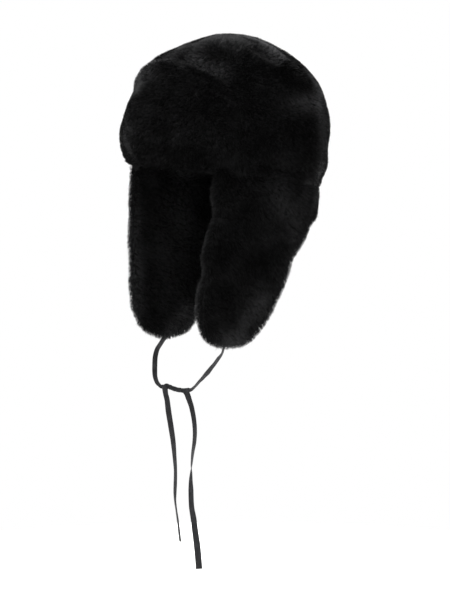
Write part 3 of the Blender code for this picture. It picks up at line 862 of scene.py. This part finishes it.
def make_tie(name, start, to_knot, phase, backwards, from_knot, finish):
    start = Vector(start)
    knot = knot_frames(phase)[::-1 if backwards else 1]
    first = frame_of(*to_knot[0])
    inwards = (start - first.point).normalized()
    frames = [first._replace(point=start + inwards * TIE_HIDDEN), first._replace(point=start)]
    frames += [frame_of(*row) for row in to_knot] + knot + [frame_of(*row) for row in from_knot]
    shape = bmesh.new()
    rings, path = [], []
    section = [*SECTION, *((-a, -b) for a, b in SECTION)]
    for given in smooth_frames(frames):
        along = given.along.normalized()
        facing = (given.facing - along * given.facing.dot(along)).normalized()
        across = along.cross(facing)
        rings.append([
            shape.verts.new(given.point + across * a * given.wide / 2 + facing * b * TIE_THICK / 2)
            for a, b in section
        ])
        path.append(tuple(given.point))
    count = len(section)
    for near, far in zip(rings, rings[1:]):
        for k in range(count):
            shape.faces.new((near[k], near[(k + 1) % count], far[(k + 1) % count], far[k]))
    shape.faces.new(rings[0])
    shape.faces.new(rings[-1])
    bmesh.ops.recalc_face_normals(shape, faces=shape.faces)
    mesh = mesh_of(name, shape)
    mesh.shade_smooth()
    mesh.set_sharp_from_angle(angle=LACE_EDGE)
    piece = add_piece(name, mesh, [finish])
    return piece


# Settings


class PileSettings(bpy.types.PropertyGroup):
    """The pile of the crown, the peak and the flap"""

    depth: FloatProperty(
        name="Depth", description="From the ground to the tips", default=0.0030, min=0.001, unit="LENGTH"
    )
    fuzz: FloatProperty(
        name="Fuzz", description="How far single tips stand out", default=0.0005, min=0.0, unit="LENGTH"
    )
    strand_width: FloatProperty(
        name="Strand width", description="Of a strand at its root", default=0.00042, min=0.0001, unit="LENGTH"
    )
    lean: FloatProperty(
        name="Lean", description="Of the pile from upright", default=math.radians(30), subtype="ANGLE"
    )
    swirl: FloatProperty(
        name="Swirl", description="How far the nap turns aside", default=math.radians(75), subtype="ANGLE"
    )
    clump_size: FloatProperty(
        name="Clump size", description="Across one clump of strands", default=0.0065, min=0.001, unit="LENGTH"
    )
    clumping: FloatProperty(
        name="Clumping", description="How tightly tips are drawn together", default=0.22, min=0.0, max=1.0
    )
    # The contrast also scales the painted highlights and painted shade of the patches
    contrast: FloatProperty(
        name="Contrast", description="Between light and dark tufts", default=1.8, min=0.0, max=2.0
    )
    gloss: FloatProperty(name="Gloss", description="Of a strand", default=0.07, min=0.0, max=1.0)
    # The roots' dark colour is painted shade deep in the pile, and the tips' lighter colour is painted sheen
    root_colour: FloatVectorProperty(
        name="Root colour", description="At the roots", default=(0.0015, 0.0015, 0.0016), subtype="COLOR"
    )
    tip_colour: FloatVectorProperty(
        name="Tip colour", description="At the tips", default=(0.0138, 0.0138, 0.0142), subtype="COLOR"
    )
    crown_strands: IntProperty(name="Crown strands", description="On each half", default=80000, min=1000)
    peak_strands: IntProperty(name="Peak strands", description="On the peak", default=65000, min=1000)
    ear_strands: IntProperty(name="Ear flap strands", description="On each ear flap", default=88000, min=1000)
    nape_strands: IntProperty(name="Nape strands", description="On the nape", default=40000, min=1000)


class LaceSettings(bpy.types.PropertyGroup):
    """The two ties"""

    colour: FloatVectorProperty(
        name="Colour", description="Of the lace", default=(0.0160, 0.0160, 0.0170), subtype="COLOR"
    )


class StageSettings(bpy.types.PropertyGroup):
    """Camera, light and floor"""

    azimuth: FloatProperty(
        name="Azimuth", description="Of the camera round the hat", default=math.radians(50), subtype="ANGLE"
    )
    elevation: FloatProperty(
        name="Elevation", description="Of the camera over the hat", default=math.radians(6), subtype="ANGLE"
    )
    distance: FloatProperty(
        name="Distance", description="From the camera to the hat", default=2.4, min=0.5, unit="LENGTH"
    )
    floor_height: FloatProperty(
        name="Floor height", description="Of the floor under the rim", default=-0.62, unit="LENGTH"
    )
    backdrop: FloatProperty(name="Backdrop", description="Brightness of the backdrop", default=1.0, min=0.0)
    behind: FloatProperty(name="Behind", description="Light from behind the hat", default=1.5, min=0.0)
    front: FloatProperty(name="Front", description="Light from before the hat", default=0.85, min=0.0)
    top_light: FloatProperty(name="Top light", description="Of the soft light above", default=5.0, min=0.0)
    side_light: FloatProperty(name="Side light", description="Of the soft light beside", default=5.0, min=0.0)
    floor_colour: FloatVectorProperty(
        name="Floor colour", description="Of the floor", default=(0.93, 0.93, 0.93), subtype="COLOR"
    )


# Operators


class HAT_OT_build_stage(bpy.types.Operator):
    """Adds the camera, the light and a plain floor"""

    bl_idname = "hat.build_stage"
    bl_label = "Build Stage"

    def execute(self, context):
        stage = context.scene.hat_stage
        a, e = stage.azimuth, stage.elevation
        back = Vector((math.sin(a) * math.cos(e), -math.cos(a) * math.cos(e), math.sin(e)))
        right = Vector((math.cos(a), math.sin(a), 0.0))
        up = back.cross(right)
        target = up * (ORIGIN_ROW - FRAME_TALL / 2) * PIXEL
        lens = bpy.data.cameras.new("camera")
        lens.sensor_width = SENSOR
        lens.lens = SENSOR * stage.distance / (FRAME_TALL * PIXEL)
        lens.clip_start, lens.clip_end = LENS_NEAR, LENS_FAR
        context.scene.camera = add_aimed("camera", lens, target + back * stage.distance, -back)
        context.scene.view_settings.view_transform = "Standard"
        brightest = Vector((0, 0, BRIGHT_UP)) - back - right * BRIGHT_LEFT
        self.add_surroundings(context, stage, brightest.normalized())
        for name, shares, strength in (
            ("top_light", TOP_LIGHT_PLACE, stage.top_light),
            ("side_light", SIDE_LIGHT_PLACE, stage.side_light),
        ):
            place = right * shares[0] + back * shares[1] + Vector((0, 0, shares[2]))
            lamp = bpy.data.lights.new(name, "SUN")
            lamp.angle = SUN_SPREAD
            lamp.energy = strength
            add_aimed(name, lamp, place, -place)
        self.add_floor(stage)
        return {"FINISHED"}

    def add_surroundings(self, context, stage, brightest):
        """A white studio, brightest towards one side and dimmer on the other."""
        world = bpy.data.worlds.new("pale_surroundings")
        world.use_nodes = True
        tree = world.node_tree
        shader = tree.nodes["Background"].inputs
        shader["Color"].default_value = (1.0, 1.0, 1.0, 1.0)
        place = node(tree, "ShaderNodeTexCoord").outputs["Generated"]
        facing = node(tree, "ShaderNodeVectorMath", {0: place, 1: tuple(brightest)}, operation="DOT_PRODUCT")
        inputs = {"From Min": DIM_FROM, "From Max": DIM_TO, "To Min": stage.front, "To Max": stage.behind}
        inputs["Value"] = facing.outputs["Value"]
        dim = node(tree, "ShaderNodeMapRange", inputs, interpolation_type="SMOOTHSTEP")
        seen = node(tree, "ShaderNodeLightPath").outputs["Is Camera Ray"]
        inputs = {"Value": seen, "To Min": dim.outputs[0], "To Max": stage.backdrop}
        strength = node(tree, "ShaderNodeMapRange", inputs)
        tree.links.new(strength.outputs[0], shader["Strength"])
        context.scene.world = world

    def add_floor(self, stage):
        shape = bmesh.new()
        bmesh.ops.create_circle(shape, cap_ends=True, radius=FLOOR_RADIUS, segments=FLOOR_SIDES)
        mesh = mesh_of("floor", shape)
        colour = (*stage.floor_colour, 1.0)
        made = new_material("plain_floor", Base_Color=colour, Roughness=0.9, Specular_IOR_Level=0.0)[0]
        mesh.materials.append(made)
        floor = bpy.data.objects.new("floor", mesh)
        floor.location.z = stage.floor_height
        link(floor)


class HAT_OT_dress_crown(bpy.types.Operator):
    """Gives the crown its ground, its pile and the plain backing inside"""

    bl_idname = "hat.dress_crown"
    bl_label = "Dress Crown"

    def execute(self, context):
        settings = context.scene.hat_pile
        mesh = fine_mesh("crown_ground", "crown")
        points, normals = read_points(mesh), read_normals(mesh)
        outside = (normals * (points - np.array(HEAD_MIDDLE))).sum(1) > 0
        whole = smooth_step(over_rim(points) / RIM_DEPTH_HEIGHT)
        depth = settings.depth * (RIM_DEPTH + (1 - RIM_DEPTH) * whole) * outside
        reach = depth + RIM_COVER * (1 - smooth_step(over_rim(points) / RIM_COVER_HEIGHT)) * outside
        inner = all_corners(~outside, read_faces(mesh))
        rise = relief(points, CROWN_FOLDS)
        to_peak = gap_to("peak", points)
        at_end = smooth_step((around(points) - PEAK_END_FROM) / (PEAK_END_TO - PEAK_END_FROM))
        near_peak = np.exp(-((to_peak / PEAK_FILLET_REACH) ** 2))
        rise += PEAK_FILLET * near_peak * at_end * below(points, PEAK_END_TOP)
        rise *= outside
        finish = [ground_material(settings), lining_material()]
        ground = make_ground("crown_ground", mesh, depth, rise, finish, CROWN_SHIFT)
        mesh.polygons.foreach_set("material_index", inner.astype(np.int32))
        mesh.update()
        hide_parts("crown")
        skin = skin_from(mesh, reach, settings, CROWN_SHIFT)
        near_rim = over_rim(skin.points) < RIM_GROWN
        grown = all_corners(outside & ((to_peak > CROWN_COVERED) | near_rim), skin.triangles)
        middle = skin.points[skin.triangles].mean(1)
        for name, half, seed in (("crown_pile_left", 1, 11), ("crown_pile_right", -1, 12)):
            chosen = grown & (middle[:, 0] * half > 0)
            grow_pile(name, skin, chosen, settings.crown_strands, settings, seed)
        return {"FINISHED"}


class HAT_OT_dress_peak(bpy.types.Operator):
    """Gives the peak its ground and its pile"""

    bl_idname = "hat.dress_peak"
    bl_label = "Dress Peak"

    def execute(self, context):
        settings = context.scene.hat_pile
        mesh = fine_mesh("peak_ground", "peak")
        points = read_points(mesh)
        behind = gap_to("crown", points) < PEAK_BEHIND
        depth = np.full(len(points), PEAK_DEPTH * settings.depth)
        rise = relief(points, PEAK_FOLDS) * ~behind
        at_end = np.clip((around(points) - PEAK_END_FROM) / (PEAK_END_TO - PEAK_END_FROM), 0.0, 1.0)
        thinner = PEAK_THINNING * at_end**PEAK_END_POWER * below(points, PEAK_END_TOP)
        finish = [ground_material(settings)]
        ground = make_ground("peak_ground", mesh, depth * ~behind, rise, finish, PEAK_SHIFT, thinner)
        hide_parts("peak")
        skin = skin_from(mesh, depth, settings, PEAK_SHIFT)
        chosen = all_corners(~behind, skin.triangles)
        grow_pile("peak_pile", skin, chosen, settings.peak_strands, settings, PEAK_SEED)
        gaps = np.where(behind, LYING_GAP, LYING_GAP + THIN_END)
        bring_out(mesh, context.scene.objects["crown_ground"].data, gaps)
        return {"FINISHED"}


class HAT_OT_dress_flap(bpy.types.Operator):
    """Gives the ear flaps and the nape their ground and their pile"""

    bl_idname = "hat.dress_flap"
    bl_label = "Dress Flap"

    def execute(self, context):
        settings = context.scene.hat_pile
        mesh = fine_mesh("flap_ground", "ear_and_nape_flap")
        points = read_points(mesh)
        depth = np.full(len(points), settings.depth)
        top = over_rim(points) > -MILLIMETRE
        rise = relief(points, FLAP_FOLDS)
        ground = make_ground("flap_ground", mesh, depth, rise, [ground_material(settings)], FLAP_SHIFT)
        sewn = read_points(mesh)
        at_front = smooth_step((EDGE_FROM - points[:, 1]) / EDGE_REACH) * (points[:, 0] > 0)
        moved = np.interp(points[:, 2], *np.transpose(EDGE_MOVES)) * at_front
        at_rear = smooth_step((points[:, 1] - REAR_FROM) / REAR_REACH) * (points[:, 0] < 0)
        moved += np.interp(points[:, 2], *np.transpose(REAR_MOVES)) * at_rear
        sewn += moved[:, None] * np.array(EDGE_HEADING)
        sewn[top, 2] += SEWN_IN + settings.depth
        write_points(mesh, sewn)
        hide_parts("ear_and_nape_flap")
        skin = skin_from(mesh, depth + FLAP_COVER, settings, FLAP_SHIFT)
        middle = skin.points[skin.triangles].mean(1)
        nape = middle[:, 1] > NAPE_FROM
        for name, chosen, count, seed in (
            ("left_ear_pile", ~nape & (middle[:, 0] > 0), settings.ear_strands, 31),
            ("right_ear_pile", ~nape & (middle[:, 0] <= 0), settings.ear_strands, 32),
            ("nape_pile", nape, settings.nape_strands, 33),
        ):
            grow_pile(name, skin, chosen, count, settings, seed)
        return {"FINISHED"}


class HAT_OT_lay_ties(bpy.types.Operator):
    """Lays both laces from the ear flaps through the half knot to their free ends"""

    bl_idname = "hat.lay_ties"
    bl_label = "Lay Ties"

    def execute(self, context):
        finish = lace_material(context.scene.hat_lace)
        left = make_tie("left_lace", LEFT_START, LEFT_TIE_TO_KNOT, math.pi, False, LEFT_TIE_FROM_KNOT, finish)
        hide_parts("left_tie")
        right = make_tie("right_lace", RIGHT_START, RIGHT_TIE_TO_KNOT, 0.0, True, RIGHT_TIE_FROM_KNOT, finish)
        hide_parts("right_tie")
        return {"FINISHED"}


class HAT_PT_pieces(bpy.types.Panel):
    """Lists the pieces of the hat and their settings"""

    bl_idname = "HAT_PT_pieces"
    bl_label = "Fur Trapper Hat"
    bl_space_type = "VIEW_3D"
    bl_region_type = "UI"
    bl_category = "Hat"

    def draw(self, context):
        for group in (context.scene.hat_stage, context.scene.hat_pile, context.scene.hat_lace):
            box = self.layout.box()
            for key in group.__annotations__:
                box.prop(group, key)
        for operator in OPERATORS:
            self.layout.operator(operator.bl_idname)


SETTINGS = {"hat_pile": PileSettings, "hat_lace": LaceSettings, "hat_stage": StageSettings}
OPERATORS = (HAT_OT_build_stage, HAT_OT_lay_ties, HAT_OT_dress_crown, HAT_OT_dress_peak, HAT_OT_dress_flap)


def register():
    for made in (*SETTINGS.values(), *OPERATORS, HAT_PT_pieces):
        bpy.utils.register_class(made)
    for key, kind in SETTINGS.items():
        setattr(bpy.types.Scene, key, PointerProperty(type=kind))


def unregister():
    for key in SETTINGS:
        delattr(bpy.types.Scene, key)
    for made in (HAT_PT_pieces, *OPERATORS[::-1], *SETTINGS.values()):
        bpy.utils.unregister_class(made)


def main():
    register()
    bpy.ops.hat.build_stage()
    bpy.ops.hat.lay_ties()
    bpy.ops.hat.dress_crown()
    bpy.ops.hat.dress_peak()
    bpy.ops.hat.dress_flap()


if __name__ == "__main__":
    main()
